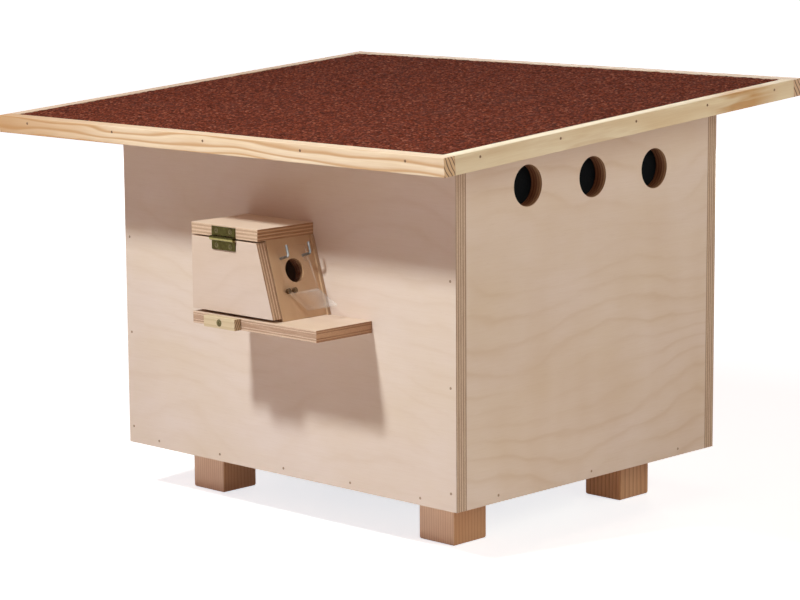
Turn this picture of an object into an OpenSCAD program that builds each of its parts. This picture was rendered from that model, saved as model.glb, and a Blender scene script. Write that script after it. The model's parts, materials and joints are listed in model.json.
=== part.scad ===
// Bumblebee nest box: a plywood box on four legs, a lift-off roof and a small entrance vestibule.
// Origin: centre of the bounding box at the legs' feet. The front, with the vestibule, faces -Y.

/* [Box] */
// Outside width of the box
box_w = 400; // [340:1:520]
// Outside depth of the box
box_d = 334; // [310:1:420]
// Height of the front wall at its outer face, without the legs
front_h = 287; // [272:1:340]
// Thickness of the wall, floor and roof plywood
ply = 12; // [9:0.5:15]

/* [Legs] */
// Side of a square leg
leg_side = 40; // [30:1:50]
// Height of a leg below the floor
leg_h = 42; // [30:1:80]
// Distance from the box's outer faces to a leg
leg_inset = 40; // [20:1:60]

/* [Roof] */
// Slope of the roof, rising to the back
roof_slope = 4; // [2:0.5:7]
// How far the roof reaches past each side wall
over_side = 67; // [40:1:90]
// How far the roof reaches past the front wall
over_front = 85; // [80:1:120]
// How far the roof reaches past the rear wall
over_rear = 31; // [20:1:60]
// Thickness of an edge strip
strip_t = 12; // [9:0.5:16]
// Height of an edge strip
strip_h = 15; // [15:0.5:24]
// Thickness of the roofing felt
felt_t = 2.5; // [2:0.1:2.8]
// Gap between the felt and the strips
felt_gap = 0.6; // [0.2:0.1:2]
// Width of a locating batten under the roof
batten_w = 18; // [12:1:24]
// Height of a locating batten
batten_h = 16; // [10:1:18]
// Gap between a batten and the side wall
batten_gap = 3; // [2.5:0.5:5]
// Gap between a batten's ends and the front and rear walls
batten_end_gap = 12; // [8:1:30]

/* [Vents] */
// Diameter of a vent hole
vent_d = 34; // [20:1:40]
// Distance between neighbouring vent holes
vent_pitch = 81; // [60:1:90]
// Height of the vents' centres above the bottom of the box
vent_z = 255; // [240:1:256]
// Thickness of the gauze
gauze_t = 0.8; // [0.5:0.1:1.2]
// Height of the gauze strip
gauze_h = 48; // [46:1:54]
// Distance between neighbouring gauze openings
gauze_pitch = 5; // [4:0.5:6]
// Width of a gauze opening
gauze_hole = 3.6; // [2:0.1:3.6]

/* [Vestibule] */
// Width of the vestibule's roof board
vest_w = 80; // [74:1:84]
// Depth of the vestibule from the front wall
vest_d = 63; // [60:1:75]
// Clear height between the base board and the roof board
vest_h = 65; // [62:1:75]
// Height of the base board's underside above the bottom of the box
vest_z = 135; // [120:1:150]
// Thickness of the vestibule's plywood
vest_ply = 10; // [9:0.5:11]
// Length of the base board, with its landing part
base_w = 147; // [130:1:170]
// Lean of the entrance panel from upright
panel_lean = 17; // [12:1:20]
// Distance from the roof board's right end to the top of the entrance panel's face
panel_set = 2; // [0:0.5:4]
// Thickness of the back board
back_t = 3; // [2:0.5:4]
// How far the back board shows beside the entrance panel
back_lip = 2.4; // [0:0.2:4]

/* [Door] */
// Gap above the door
door_top_gap = 1.4; // [1:0.1:2]
// Gap below the door
door_foot_gap = 2.6; // [2:0.1:4]
// Gap between the door and the panels behind it
door_back_gap = 0.5; // [0.4:0.1:1.5]
// Width of the hinge
hinge_w = 28; // [20:1:34]
// Height of a hinge leaf, from the knuckle's centre
leaf_h = 9.6; // [8.5:0.1:10]
// Thickness of a hinge leaf
leaf_t = 1; // [0.8:0.1:1.2]
// Outside diameter of the hinge knuckle
knuckle_d = 4; // [3.6:0.1:4.4]
// Diameter of the hinge pin
pin_d = 1.8; // [1.4:0.1:2]

/* [Turn button] */
// Length of the turn button
button_l = 37.5; // [30:0.5:44]
// Width of the turn button
button_w = 9.5; // [8:0.5:10]
// Thickness of the turn button
button_t = 7; // [5:0.5:8]

/* [Entrance] */
// Diameter of the entrance hole
entrance_d = 20; // [14:1:22]
// Height of the entrance hole's centre above the base board, measured up the panel
entrance_s = 40.5; // [38:0.5:43]
// Outside diameter of the tube through the front wall
tube_d = 25; // [20:1:28]
// Wall thickness of the tube
tube_wall = 2; // [1:0.5:3]
// Height of the tube's axis above the base board
tube_rise = 30; // [20:1:40]

/* [Flap] */
// Distance from a hook to the clear flap's side
flap_side = 3.5; // [3:0.5:6]
// Length of the flap from its top edge to its fold
flap_l = 38.5; // [36:0.5:40]
// Length of the flap's lip
lip_l = 23; // [12:1:26]
// Thickness of the flap
flap_t = 1.5; // [1:0.1:1.5]
// Lean of the hanging flap away from the entrance panel
flap_lean = 7; // [6:0.5:9]
// Bend between the flap and its lip
lip_bend = 39; // [25:1:50]
// Diameter of the hook wire
hook_d = 2.2; // [1.8:0.1:2.4]
// Distance between the two hooks
hook_pitch = 25; // [22:1:26]
// Distance up the panel from the entrance hole's centre to the hooks
hook_rise = 11; // [11:0.5:12]
// Distance from the flap's top edge down the panel to the hooks
hook_drop = 9; // [9:0.5:10]
// How far a hook stands out of the panel
hook_out = 10; // [10:0.5:12]
// Height of a hook's arm
hook_arm = 9.5; // [7:0.5:10]

/* [Nest box] */
// Outside width of the inner nest box
nest_w = 260; // [200:1:270]
// Outside depth of the inner nest box
nest_d = 250; // [200:1:250]
// Height of the inner nest box without its lid
nest_h = 200; // [190:1:206]
// Thickness of the inner nest box's boards
nest_ply = 6; // [4:0.5:8]
// Gap between the front wall and the inner nest box
nest_gap = 26; // [20:1:34]

/* [Fasteners] */
// Diameter of a brad
brad_d = 1.4; // [1:0.1:1.8]
// Length of a wall brad
brad_l = 30; // [24:1:36]
// Diameter of a leg screw
screw_d = 4; // [3:0.5:5]
// Length of a leg screw
screw_l = 38; // [30:1:40]

/* [Hidden] */
$fn = 32;
// running gap round a pin, hairline gap round a fastener and hairline gap under the loose roof
run_gap = 0.1;
fit_gap = 0.05;
seat_gap = 0.05;
// how far a cutter runs past a face
past = 1;

// Box frame: x centred, y from the front wall's outer face to the back, z from the bottom of the box
strip_rise = strip_h * sin(roof_slope);
front_y = over_front - (over_front + box_d + over_rear + strip_rise) / 2;
in_x = box_w / 2 - ply;
in_y = box_d - ply;
function under_roof(y) = front_h + y * tan(roof_slope);

module in_box() translate([0, front_y, leg_h]) children();
module in_roof() in_box() translate([0, 0, front_h + seat_gap]) rotate([roof_slope, 0, 0]) children();

// Fasteners, each with its head at z = 0 and its point down
brad_head_d = brad_d * 1.6;
brad_head_h = 0.8;

module brad(length, gap = 0) {
    translate([0, 0, -brad_head_h - gap]) cylinder(h = brad_head_h + gap, d = brad_head_d + 2 * gap);
    translate([0, 0, -length - gap]) cylinder(h = length + gap, d = brad_d + 2 * gap);
}

module screw(length, d, gap = 0) {
    head_h = d / 2;
    tip_d = d * 0.3;
    translate([0, 0, -head_h]) cylinder(h = head_h, d1 = d + 2 * gap, d2 = 2 * d + 2 * gap);
    translate([0, 0, -length + d - gap]) cylinder(h = length - d - head_h + 2 * gap, d = d + 2 * gap);
    translate([0, 0, -length - gap]) cylinder(h = d + gap, d1 = tip_d + 2 * gap, d2 = d + 2 * gap);
}

module cross_screw(length, d) {
    slot_l = d * 1.2;
    slot_w = d / 5;
    difference() {
        screw(length, d);
        for (turn = [0, 90])
            rotate([0, 0, turn]) translate([-slot_l / 2, -slot_w / 2, -slot_w]) cube([slot_l, slot_w, d]);
    }
}

// Where the wall brads go: down both corners of the front and rear walls, and along the lower edges
brad_in = ply / 2;
brad_low = 15;
brad_foot_in = 40;
brad_side_in = 50;
brad_edge_n = 4;
brad_foot_n = 5;
brad_side_n = 3;
function spread(from, to, n, i) = from + (to - from) * i / (n - 1);

module each_wall_brad() {
    for (side = [-1, 1], i = [0 : brad_edge_n - 1]) {
        x = side * (box_w / 2 - brad_in);
        translate([x, 0, spread(brad_low, front_h - brad_low, brad_edge_n, i)]) rotate([90, 0, 0]) children();
        translate([x, box_d, spread(brad_low, under_roof(box_d) - brad_low, brad_edge_n, i)])
            rotate([-90, 0, 0]) children();
    }
    for (i = [0 : brad_foot_n - 1]) {
        x = spread(brad_foot_in - box_w / 2, box_w / 2 - brad_foot_in, brad_foot_n, i);
        translate([x, 0, brad_in]) rotate([90, 0, 0]) children();
        translate([x, box_d, brad_in]) rotate([-90, 0, 0]) children();
    }
    for (side = [-1, 1], i = [0 : brad_side_n - 1])
        translate([side * box_w / 2, spread(brad_side_in, box_d - brad_side_in, brad_side_n, i), brad_in])
            rotate([0, side * 90, 0]) children();
}

module wall_brads() {
    color("dimgray") in_box() each_wall_brad() brad(brad_l);
}

// Box shell
module roof_cut(y0, y1) {
    // everything above the roof's underside between y0 and y1
    high = box_w;
    rotate([90, 0, 90])
        linear_extrude(2 * box_w, center = true)
            polygon([[y0, under_roof(y0)], [y1, under_roof(y1)], [y1, under_roof(y1) + high],
                [y0, under_roof(y0) + high]]);
}

module front_wall() {
    color("#e6cbb4") in_box() difference() {
        translate([-box_w / 2, 0, 0]) cube([box_w, ply, under_roof(ply) + past]);
        roof_cut(-past, ply + past);
        each_wall_brad() brad(brad_l, fit_gap);
        tube_axis() tube_bore();
        each_vestibule_screw() screw(vest_screw_l, vest_screw_d, fit_gap);
    }
}

module rear_wall() {
    color("#e6cbb4") in_box() difference() {
        translate([-box_w / 2, in_y, 0]) cube([box_w, ply, under_roof(box_d) + past]);
        roof_cut(in_y - past, box_d + past);
        each_wall_brad() brad(brad_l, fit_gap);
    }
}

vent_n = 3;
function vent_y(i) = box_d / 2 + (i - (vent_n - 1) / 2) * vent_pitch;

module side_wall(side) {
    color("#d8bd9c") in_box() difference() {
        translate([side > 0 ? in_x : -box_w / 2, ply, 0]) cube([ply, in_y - ply, under_roof(box_d)]);
        roof_cut(0, box_d);
        each_wall_brad() brad(brad_l, fit_gap);
        for (i = [0 : vent_n - 1])
            translate([side * (box_w - ply) / 2, vent_y(i), vent_z]) rotate([0, 90, 0])
                cylinder(h = ply + 2 * past, d = vent_d, center = true, $fn = 64);
        each_staple(side) staple(fit_gap);
    }
}

module floor_board() {
    color("#d8bd9c") in_box() difference() {
        translate([-in_x, ply, 0]) cube([2 * in_x, in_y - ply, ply]);
        each_wall_brad() brad(brad_l, fit_gap);
        each_leg_screw() screw(screw_l, screw_d, fit_gap);
    }
}

// Legs
function leg_x(side) = side * (box_w / 2 - leg_inset - leg_side / 2);
function leg_y(rear) = rear ? box_d - leg_inset - leg_side / 2 : leg_inset + leg_side / 2;

module each_leg_screw() {
    for (side = [-1, 1], rear = [false, true], turn = [-1, 1])
        translate([leg_x(side) + turn * leg_side / 4, leg_y(rear) + turn * leg_side / 4, ply]) children();
}

module leg(side, rear) {
    color("#c58a63") in_box() difference() {
        translate([leg_x(side) - leg_side / 2, leg_y(rear) - leg_side / 2, -leg_h])
            cube([leg_side, leg_side, leg_h]);
        each_leg_screw() screw(screw_l, screw_d, fit_gap);
    }
}

module leg_screws() {
    color("#c9a24a") in_box() each_leg_screw() cross_screw(screw_l, screw_d);
}

// Vent gauze, on the inner faces of the side walls, and its staples
gauze_margin = 12;
gauze_l = (vent_n - 1) * vent_pitch + vent_d + 2 * gauze_margin;
staple_w = 8;
staple_wire = 0.7;
staple_leg = 6;
staple_n = vent_n + 1;
staple_in = 3;

module staple(gap = 0) {
    // crown on top of the gauze at x = 0, legs into the wall along -x
    translate([gauze_t, -staple_w / 2 - gap, -staple_wire / 2 - gap])
        cube([staple_wire, staple_w + 2 * gap, staple_wire + 2 * gap]);
    for (end = [-1, 1])
        translate([-staple_leg - gap, (end * (staple_w - staple_wire) - staple_wire) / 2 - gap,
                -staple_wire / 2 - gap])
            cube([staple_leg + gauze_t + gap, staple_wire + 2 * gap, staple_wire + 2 * gap]);
}

module each_staple(side) {
    for (i = [0 : staple_n - 1], up = [-1, 1]) {
        // between the vents, and near the strip's two ends
        reach = gauze_l / 2 - staple_w;
        off = (i - (staple_n - 1) / 2) * vent_pitch;
        y = box_d / 2 + max(-reach, min(reach, off));
        translate([side * in_x, y, vent_z + up * (gauze_h / 2 - staple_in)])
            rotate([0, 0, side > 0 ? 180 : 0]) children();
    }
}

module vent_gauze(side) {
    reach = vent_d / 2;
    n = floor(reach / gauze_pitch);
    corner = gauze_hole / sqrt(2);
    color("#1c1c1e") in_box() difference() {
        translate([side > 0 ? in_x - gauze_t : -in_x, box_d / 2 - gauze_l / 2, vent_z - gauze_h / 2])
            cube([gauze_t, gauze_l, gauze_h]);
        for (i = [0 : vent_n - 1], iy = [-n : n], iz = [-n : n])
            if (norm([iy, iz]) * gauze_pitch + corner < reach)
                translate([side * in_x, vent_y(i) + iy * gauze_pitch, vent_z + iz * gauze_pitch])
                    cube([2 * (gauze_t + past), gauze_hole, gauze_hole], center = true);
        each_staple(side) staple(fit_gap);
    }
}

module gauze_staples() {
    color("silver") in_box() for (side = [-1, 1]) each_staple(side) staple();
}

// Roof: x centred, y up the slope from above the front wall's outer face, z square to the underside
roof_w = box_w + 2 * over_side;
roof_y0 = -(over_front - strip_rise) / cos(roof_slope);
roof_y1 = (box_d + over_rear + strip_rise) / cos(roof_slope);
roof_l = roof_y1 - roof_y0;
strip_nail_z = 10;
strip_nail_n = 5;
strip_nail_in = 40;
nail_cover = 2;
nail_l = 26;

module each_strip_nail() {
    for (i = [0 : strip_nail_n - 1]) {
        x = spread(strip_nail_in - roof_w / 2, roof_w / 2 - strip_nail_in, strip_nail_n, i);
        y = spread(roof_y0 + strip_nail_in, roof_y1 - strip_nail_in, strip_nail_n, i);
        z = min(strip_nail_z, ply - nail_cover);
        translate([x, roof_y0, z]) rotate([90, 0, 0]) children();
        translate([x, roof_y1, z]) rotate([-90, 0, 0]) children();
        translate([-roof_w / 2, y, z]) rotate([0, -90, 0]) children();
        translate([roof_w / 2, y, z]) rotate([0, 90, 0]) children();
    }
}

module roof_board() {
    color("#d8bd9c") in_roof() difference() {
        translate([-roof_w / 2 + strip_t, roof_y0 + strip_t, 0])
            cube([roof_w - 2 * strip_t, roof_l - 2 * strip_t, ply]);
        each_strip_nail() brad(nail_l, fit_gap);
        each_batten_screw() screw(batten_screw_l, batten_screw_d, fit_gap);
    }
}

module roof_felt() {
    edge = strip_t + felt_gap;
    color("#6b2f27") in_roof() translate([-roof_w / 2 + edge, roof_y0 + edge, ply])
        cube([roof_w - 2 * edge, roof_l - 2 * edge, felt_t]);
}

module roof_strip_long(y) {
    color("#eed3a0") in_roof() difference() {
        translate([-roof_w / 2, y, 0]) cube([roof_w, strip_t, strip_h]);
        each_strip_nail() brad(nail_l, fit_gap);
    }
}

module roof_strip_short(x) {
    color("#eed3a0") in_roof() difference() {
        translate([x, roof_y0 + strip_t, 0]) cube([strip_t, roof_l - 2 * strip_t, strip_h]);
        each_strip_nail() brad(nail_l, fit_gap);
    }
}

module strip_nails() {
    color("dimgray") in_roof() each_strip_nail() brad(nail_l);
}

batten_y0 = (ply + batten_end_gap) / cos(roof_slope);
batten_y1 = (in_y - batten_end_gap) / cos(roof_slope);
batten_screw_n = 3;
batten_screw_in = 30;
batten_cover = 4;
batten_screw_d = 3;
batten_screw_l = ply + batten_h - batten_cover;

module each_batten_screw() {
    for (side = [-1, 1], i = [0 : batten_screw_n - 1])
        translate([side * (in_x - batten_gap - batten_w / 2),
            spread(batten_y0 + batten_screw_in, batten_y1 - batten_screw_in, batten_screw_n, i), ply])
                children();
}

module roof_batten(side) {
    x = side * (in_x - batten_gap - batten_w / 2) - batten_w / 2;
    color("#eed3a0") in_roof() difference() {
        translate([x, batten_y0, -batten_h]) cube([batten_w, batten_y1 - batten_y0, batten_h]);
        each_batten_screw() screw(batten_screw_l, batten_screw_d, fit_gap);
    }
}

module batten_screws() {
    color("#c9a24a") in_roof() each_batten_screw() cross_screw(batten_screw_l, batten_screw_d);
}

// Vestibule: z measured in the box frame
base_top = vest_z + vest_ply;
vest_top = base_top + vest_h;
door_back_y = -vest_d + vest_ply;
panel_y0 = door_back_y + door_back_gap;
panel_top_x = vest_w / 2 - panel_set;
function panel_x(z) = panel_top_x + (vest_top - z) * tan(panel_lean);
vest_screw_l = 36;
vest_screw_d = 3.5;
vest_screw_in = 16;

module vest_board(width, z) {
    difference() {
        translate([-vest_w / 2, -vest_d, z]) cube([width, vest_d, vest_ply]);
        each_vestibule_screw() screw(vest_screw_l, vest_screw_d, fit_gap);
    }
}

module each_vestibule_screw() {
    // from inside the box through the front wall into the boards' back edges
    x = vest_w / 2 - vest_screw_in;
    for (place = [-x, x])
        translate([place, ply, vest_top + vest_ply / 2]) rotate([-90, 0, 0]) children();
    for (place = [-x, x, base_w - vest_w / 2 - vest_screw_in])
        translate([place, ply, base_top - vest_ply / 2]) rotate([-90, 0, 0]) children();
}

module vestibule_screws() {
    color("#c9a24a") in_box() each_vestibule_screw() cross_screw(vest_screw_l, vest_screw_d);
}

module vestibule_roof() {
    color("#e6cbb4") in_box() difference() {
        vest_board(vest_w, vest_top);
        each_hinge_screw(1) screw(hinge_screw_l, hinge_screw_d, fit_gap);
    }
}

module vestibule_base() {
    color("#e6cbb4") in_box() difference() {
        vest_board(base_w, vest_z);
        button_axis() translate([0, 0, button_t + button_gap]) screw(button_screw_l, button_screw_d, fit_gap);
    }
}

module vestibule_end() {
    color("#d8bd9c") in_box()
        translate([-vest_w / 2, panel_y0, base_top]) cube([vest_ply, -back_t - panel_y0, vest_h]);
}

module slanted(x_left, x_right_top, y0, y1) {
    // a board between the base and roof boards whose right side leans with the entrance panel
    foot = x_right_top + vest_h * tan(panel_lean);
    translate([0, y1, 0]) rotate([90, 0, 0]) linear_extrude(y1 - y0)
        polygon([[x_left, base_top], [foot, base_top], [x_right_top, vest_top], [x_left, vest_top]]);
}

module vestibule_back() {
    color("#d8bd9c") in_box() difference() {
        slanted(-vest_w / 2, panel_top_x + back_lip, -back_t, 0);
        tube_axis() tube_bore();
    }
}

// Entrance panel
flap_top_s = entrance_s + hook_rise + hook_drop;
flap_top_z = base_top + flap_top_s * cos(panel_lean);
panel_mid_y = (panel_y0 - back_t) / 2;

module on_panel() {
    // origin on the flap's top edge line; x runs along the box's +y, y up the panel's face, z out of it
    translate([panel_x(flap_top_z), panel_mid_y, flap_top_z])
        rotate([0, 90 - panel_lean, 0]) rotate([0, 0, 90]) children();
}

module entrance_panel() {
    thick = vest_ply / cos(panel_lean);
    color("#d9b38c") in_box() difference() {
        translate([0, -back_t, 0]) rotate([90, 0, 0]) linear_extrude(-back_t - panel_y0)
            polygon([[panel_x(base_top) - thick, base_top], [panel_x(base_top), base_top],
                [panel_top_x, vest_top], [panel_top_x - thick, vest_top]]);
        on_panel() translate([0, -hook_drop - hook_rise, 0])
            cylinder(h = 4 * vest_ply, d = entrance_d, center = true, $fn = 64);
        on_panel() each_hook() hook(fit_gap);
        on_panel() each_stop() stop_screw(fit_gap);
    }
}

// Entrance tube, through the back board and the front wall into the inner nest box
tube_x = -2;
tube_end = 10;
tube_l = back_t + ply + nest_gap + nest_ply + tube_end;

module tube_axis() {
    // origin on the back board's face, z out of the box
    translate([tube_x, -back_t, base_top + tube_rise]) rotate([90, 0, 0]) children();
}

module tube_bore() {
    cylinder(h = 2 * tube_l, d = tube_d + 2 * fit_gap, center = true, $fn = 64);
}

module entrance_tube() {
    color("#3a3a3c") in_box() tube_axis() translate([0, 0, -tube_l]) difference() {
        cylinder(h = tube_l, d = tube_d, $fn = 64);
        translate([0, 0, -past]) cylinder(h = tube_l + 2 * past, d = tube_d - 2 * tube_wall, $fn = 64);
    }
}

// Hooks, stops and flap
hook_bend = hook_d;
hook_root = 8;

module each_hook() {
    for (side = [-1, 1]) translate([side * hook_pitch / 2, -hook_drop, 0]) children();
}

module hook(gap = 0) {
    wire = hook_d + 2 * gap;
    translate([0, 0, -hook_root - gap]) cylinder(h = hook_root + gap + hook_out - hook_bend, d = wire);
    if (gap == 0) {
        translate([0, hook_bend, hook_out - hook_bend]) rotate([0, 90, 0]) rotate([0, 0, 180])
            rotate_extrude(angle = 90) translate([hook_bend, 0]) circle(d = wire);
        translate([0, hook_bend, hook_out]) rotate([-90, 0, 0]) cylinder(h = hook_arm - hook_bend, d = wire);
    }
}

module flap_hooks() {
    color("silver") in_box() on_panel() each_hook() hook();
}

stop_up = 2;
stop_s = flap_l - stop_up;
stop_places = [-14, -7];
stop_head_d = 4.6;
stop_head_h = 1.8;
stop_shank_d = 2;
stop_root = 7;
rest_gap = 0.3;
stop_out = stop_s * tan(flap_lean) - rest_gap - stop_head_d / 2 * tan(flap_lean);

module each_stop() {
    for (x = stop_places) translate([x, -stop_s, 0]) children();
}

module stop_screw(gap = 0) {
    translate([0, 0, -stop_root - gap])
        cylinder(h = stop_root + gap + stop_out - stop_head_h / 2, d = stop_shank_d + 2 * gap);
    if (gap == 0)
        translate([0, 0, stop_out - stop_head_h]) cylinder(h = stop_head_h, d = stop_head_d);
}

module flap_stops() {
    color("#8a6a3a") in_box() on_panel() each_stop() stop_screw();
}

flap_w = hook_pitch + 2 * flap_side;
flap_set = 0.3;
slot_side_gap = 0.4;
slot_w = hook_d + 2 * slot_side_gap;
slot_h = 6.4;
slot_s = hook_drop / cos(flap_lean) + slot_h / 2 - hook_d / 2 - rest_gap;

fold_r = 2;
fold_steps = 8;

// A point of the fold, in the flap's side outline: y along the flap, z out of the panel
function fold(r, turn) = [-flap_l - r * sin(turn), flap_t + fold_r - r * cos(turn)];

module flap_outline() {
    outer_r = fold_r + flap_t;
    lip = lip_l * [-cos(lip_bend), sin(lip_bend)];
    polygon(concat(
        [[0, 0], [0, flap_t]],
        [for (i = [0 : fold_steps]) fold(fold_r, lip_bend * i / fold_steps)],
        [fold(fold_r, lip_bend) + lip, fold(outer_r, lip_bend) + lip],
        [for (i = [fold_steps : -1 : 0]) fold(outer_r, lip_bend * i / fold_steps)]));
}

module flap_slot() {
    // an upright slot with round ends, long enough for the wire while the flap swings
    half = (slot_h - slot_w) / 2;
    for (end = [-half, half])
        translate([0, end, -past]) cylinder(h = flap_t + 2 * past, d = slot_w);
    translate([-slot_w / 2, -half, -past]) cube([slot_w, 2 * half, flap_t + 2 * past]);
}

module entrance_flap() {
    // hangs from its top edge line and leans out by flap_lean
    color([0.85, 0.9, 0.92, 0.45]) in_box() on_panel() translate([0, 0, flap_set])
        rotate([-flap_lean, 0, 0]) difference() {
            rotate([90, 0, 90]) linear_extrude(flap_w, center = true) flap_outline();
            for (side = [-1, 1]) translate([side * hook_pitch / 2, -slot_s, 0]) flap_slot();
        }
}

// Door, hinge and turn button
knuckle_z = vest_top - door_top_gap / 2;
knuckle_y = -vest_d - knuckle_d / 2 - run_gap;
leaf_y = -vest_d - leaf_t;
hinge_screw_d = 2.2;
hinge_screw_l = 9;
hinge_screw_in = 5.6;
hinge_screw_s = 6.1;
knuckles = 5;
knuckle_l = hinge_w / knuckles;
knuckle_clear = 0.4;
pin_out = 0.6;

module each_hinge_screw(up) {
    for (side = [-1, 1])
        translate([side * (hinge_w / 2 - hinge_screw_in), leaf_y, knuckle_z + up * hinge_screw_s])
            rotate([90, 0, 0]) children();
}

module knuckle_axis() translate([0, knuckle_y, knuckle_z]) rotate([0, 90, 0]) children();

// The roof leaf has the odd knuckles and the door leaf the even ones; each is cut away round the other's
module hinge_leaf(up) {
    bore = pin_d + 2 * (up > 0 ? fit_gap : run_gap);
    color("#a8893c") in_box() difference() {
        union() {
            translate([-hinge_w / 2, leaf_y, up > 0 ? knuckle_z : knuckle_z - leaf_h])
                cube([hinge_w, leaf_t, leaf_h]);
            knuckle_axis() cylinder(h = hinge_w, d = knuckle_d, center = true);
        }
        knuckle_axis() cylinder(h = 2 * hinge_w, d = bore, center = true);
        for (i = [0 : knuckles - 1])
            if ((i % 2 == 0) != (up > 0)) {
                x0 = -hinge_w / 2 + i * knuckle_l - (i > 0 ? run_gap : past);
                x1 = -hinge_w / 2 + (i + 1) * knuckle_l + (i < knuckles - 1 ? run_gap : past);
                translate([x0, knuckle_y - knuckle_d, knuckle_z - knuckle_d / 2 - knuckle_clear])
                    cube([x1 - x0, 3 * knuckle_d, knuckle_d + 2 * knuckle_clear]);
            }
        each_hinge_screw(up) screw(hinge_screw_l, hinge_screw_d, fit_gap);
    }
}

module hinge_screws(up) {
    color("#b8923c") in_box() each_hinge_screw(up) cross_screw(hinge_screw_l, hinge_screw_d);
}

module hinge_pin() {
    color("#a8893c") in_box() knuckle_axis() cylinder(h = hinge_w + 2 * pin_out, d = pin_d, center = true);
}

module vestibule_door() {
    top = vest_top - door_top_gap;
    foot = base_top + door_foot_gap;
    color("#e6cbb4") in_box() difference() {
        translate([0, door_back_y, 0]) rotate([90, 0, 0]) linear_extrude(vest_ply)
            polygon([[-vest_w / 2, foot], [panel_x(foot), foot], [panel_x(top), top], [-vest_w / 2, top]]);
        each_hinge_screw(-1) screw(hinge_screw_l, hinge_screw_d, fit_gap);
    }
}

button_gap = 0.3;
button_screw_d = 3;
button_screw_l = 22;

module button_axis() translate([0, -vest_d, vest_z + vest_ply / 2]) rotate([90, 0, 0]) children();

module turn_button() {
    color("#e2c79a") in_box() button_axis() translate([0, 0, button_gap]) difference() {
        translate([-button_l / 2, -button_w / 2, 0]) cube([button_l, button_w, button_t]);
        translate([0, 0, button_t]) screw(button_screw_l, button_screw_d, run_gap);
    }
}

module button_screw() {
    color("#b8923c") in_box() button_axis() translate([0, 0, button_t + button_gap])
        cross_screw(button_screw_l, button_screw_d);
}

// Inner nest box, on the floor board
nest_y0 = ply + nest_gap;
nest_y1 = nest_y0 + nest_d;
nest_z = ply;
nest_brad_l = 20;
nest_brad_n = 3;
nest_brad_in = 20;

module each_nest_brad() {
    for (side = [-1, 1], i = [0 : nest_brad_n - 1], end = [-1, 1])
        translate([side * (nest_w - nest_ply) / 2, end > 0 ? nest_y1 : nest_y0,
                nest_z + spread(nest_brad_in, nest_h - nest_brad_in, nest_brad_n, i)])
            rotate([end * -90, 0, 0]) children();
}

module nest_cross(y) {
    difference() {
        translate([-nest_w / 2, y, nest_z]) cube([nest_w, nest_ply, nest_h]);
        each_nest_brad() brad(nest_brad_l, fit_gap);
    }
}

module nest_front() {
    color("#cfae86") in_box() difference() {
        nest_cross(nest_y0);
        tube_axis() tube_bore();
    }
}

module nest_rear() {
    color("#cfae86") in_box() nest_cross(nest_y1 - nest_ply);
}

module nest_side(side) {
    color("#cfae86") in_box() difference() {
        translate([side > 0 ? nest_w / 2 - nest_ply : -nest_w / 2, nest_y0 + nest_ply, nest_z])
            cube([nest_ply, nest_d - 2 * nest_ply, nest_h]);
        each_nest_brad() brad(nest_brad_l, fit_gap);
    }
}

module nest_floor() {
    color("#cfae86") in_box() translate([-nest_w / 2 + nest_ply, nest_y0 + nest_ply, nest_z])
        cube([nest_w - 2 * nest_ply, nest_d - 2 * nest_ply, nest_ply]);
}

// The lid lies on the walls, and a rebated lower step fits loosely between them
lid_step = 4;
lid_gap = 1;

module nest_lid() {
    inset = nest_ply + lid_gap;
    color("#cfae86") in_box() {
        translate([-nest_w / 2, nest_y0, nest_z + nest_h]) cube([nest_w, nest_d, nest_ply]);
        translate([-nest_w / 2 + inset, nest_y0 + inset, nest_z + nest_h - lid_step])
            cube([nest_w - 2 * inset, nest_d - 2 * inset, lid_step]);
    }
}

module nest_brads() {
    color("dimgray") in_box() each_nest_brad() brad(nest_brad_l);
}

front_wall();
rear_wall();
side_wall(-1);  // left_wall
side_wall(1);  // right_wall
floor_board();
leg(-1, false);  // leg_front_left
leg(1, false);  // leg_front_right
leg(-1, true);  // leg_rear_left
leg(1, true);  // leg_rear_right
leg_screws();
wall_brads();
vent_gauze(-1);  // left_vent_gauze
vent_gauze(1);  // right_vent_gauze
gauze_staples();
roof_board();
roof_felt();
roof_strip_long(roof_y0);  // roof_strip_front
roof_strip_long(roof_y1 - strip_t);  // roof_strip_rear
roof_strip_short(-roof_w / 2);  // roof_strip_left
roof_strip_short(roof_w / 2 - strip_t);  // roof_strip_right
strip_nails();
roof_batten(-1);  // roof_batten_left
roof_batten(1);  // roof_batten_right
batten_screws();
vestibule_roof();
vestibule_base();
vestibule_end();
vestibule_back();
vestibule_screws();
entrance_panel();
entrance_tube();
entrance_flap();
flap_hooks();
flap_stops();
vestibule_door();
hinge_leaf(1);  // hinge_roof_leaf
hinge_leaf(-1);  // hinge_door_leaf
hinge_pin();
hinge_screws(1);  // hinge_roof_screws
hinge_screws(-1);  // hinge_door_screws
turn_button();
button_screw();
nest_front();
nest_rear();
nest_side(-1);  // nest_left
nest_side(1);  // nest_right
nest_floor();
nest_lid();
nest_brads();
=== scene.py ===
"""Bumblebee nest box: the finish of every piece, the floor, the lamps and the camera."""
import itertools
import json
import math

import bmesh
import bpy
import numpy as np
from mathutils import Matrix, Vector


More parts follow.
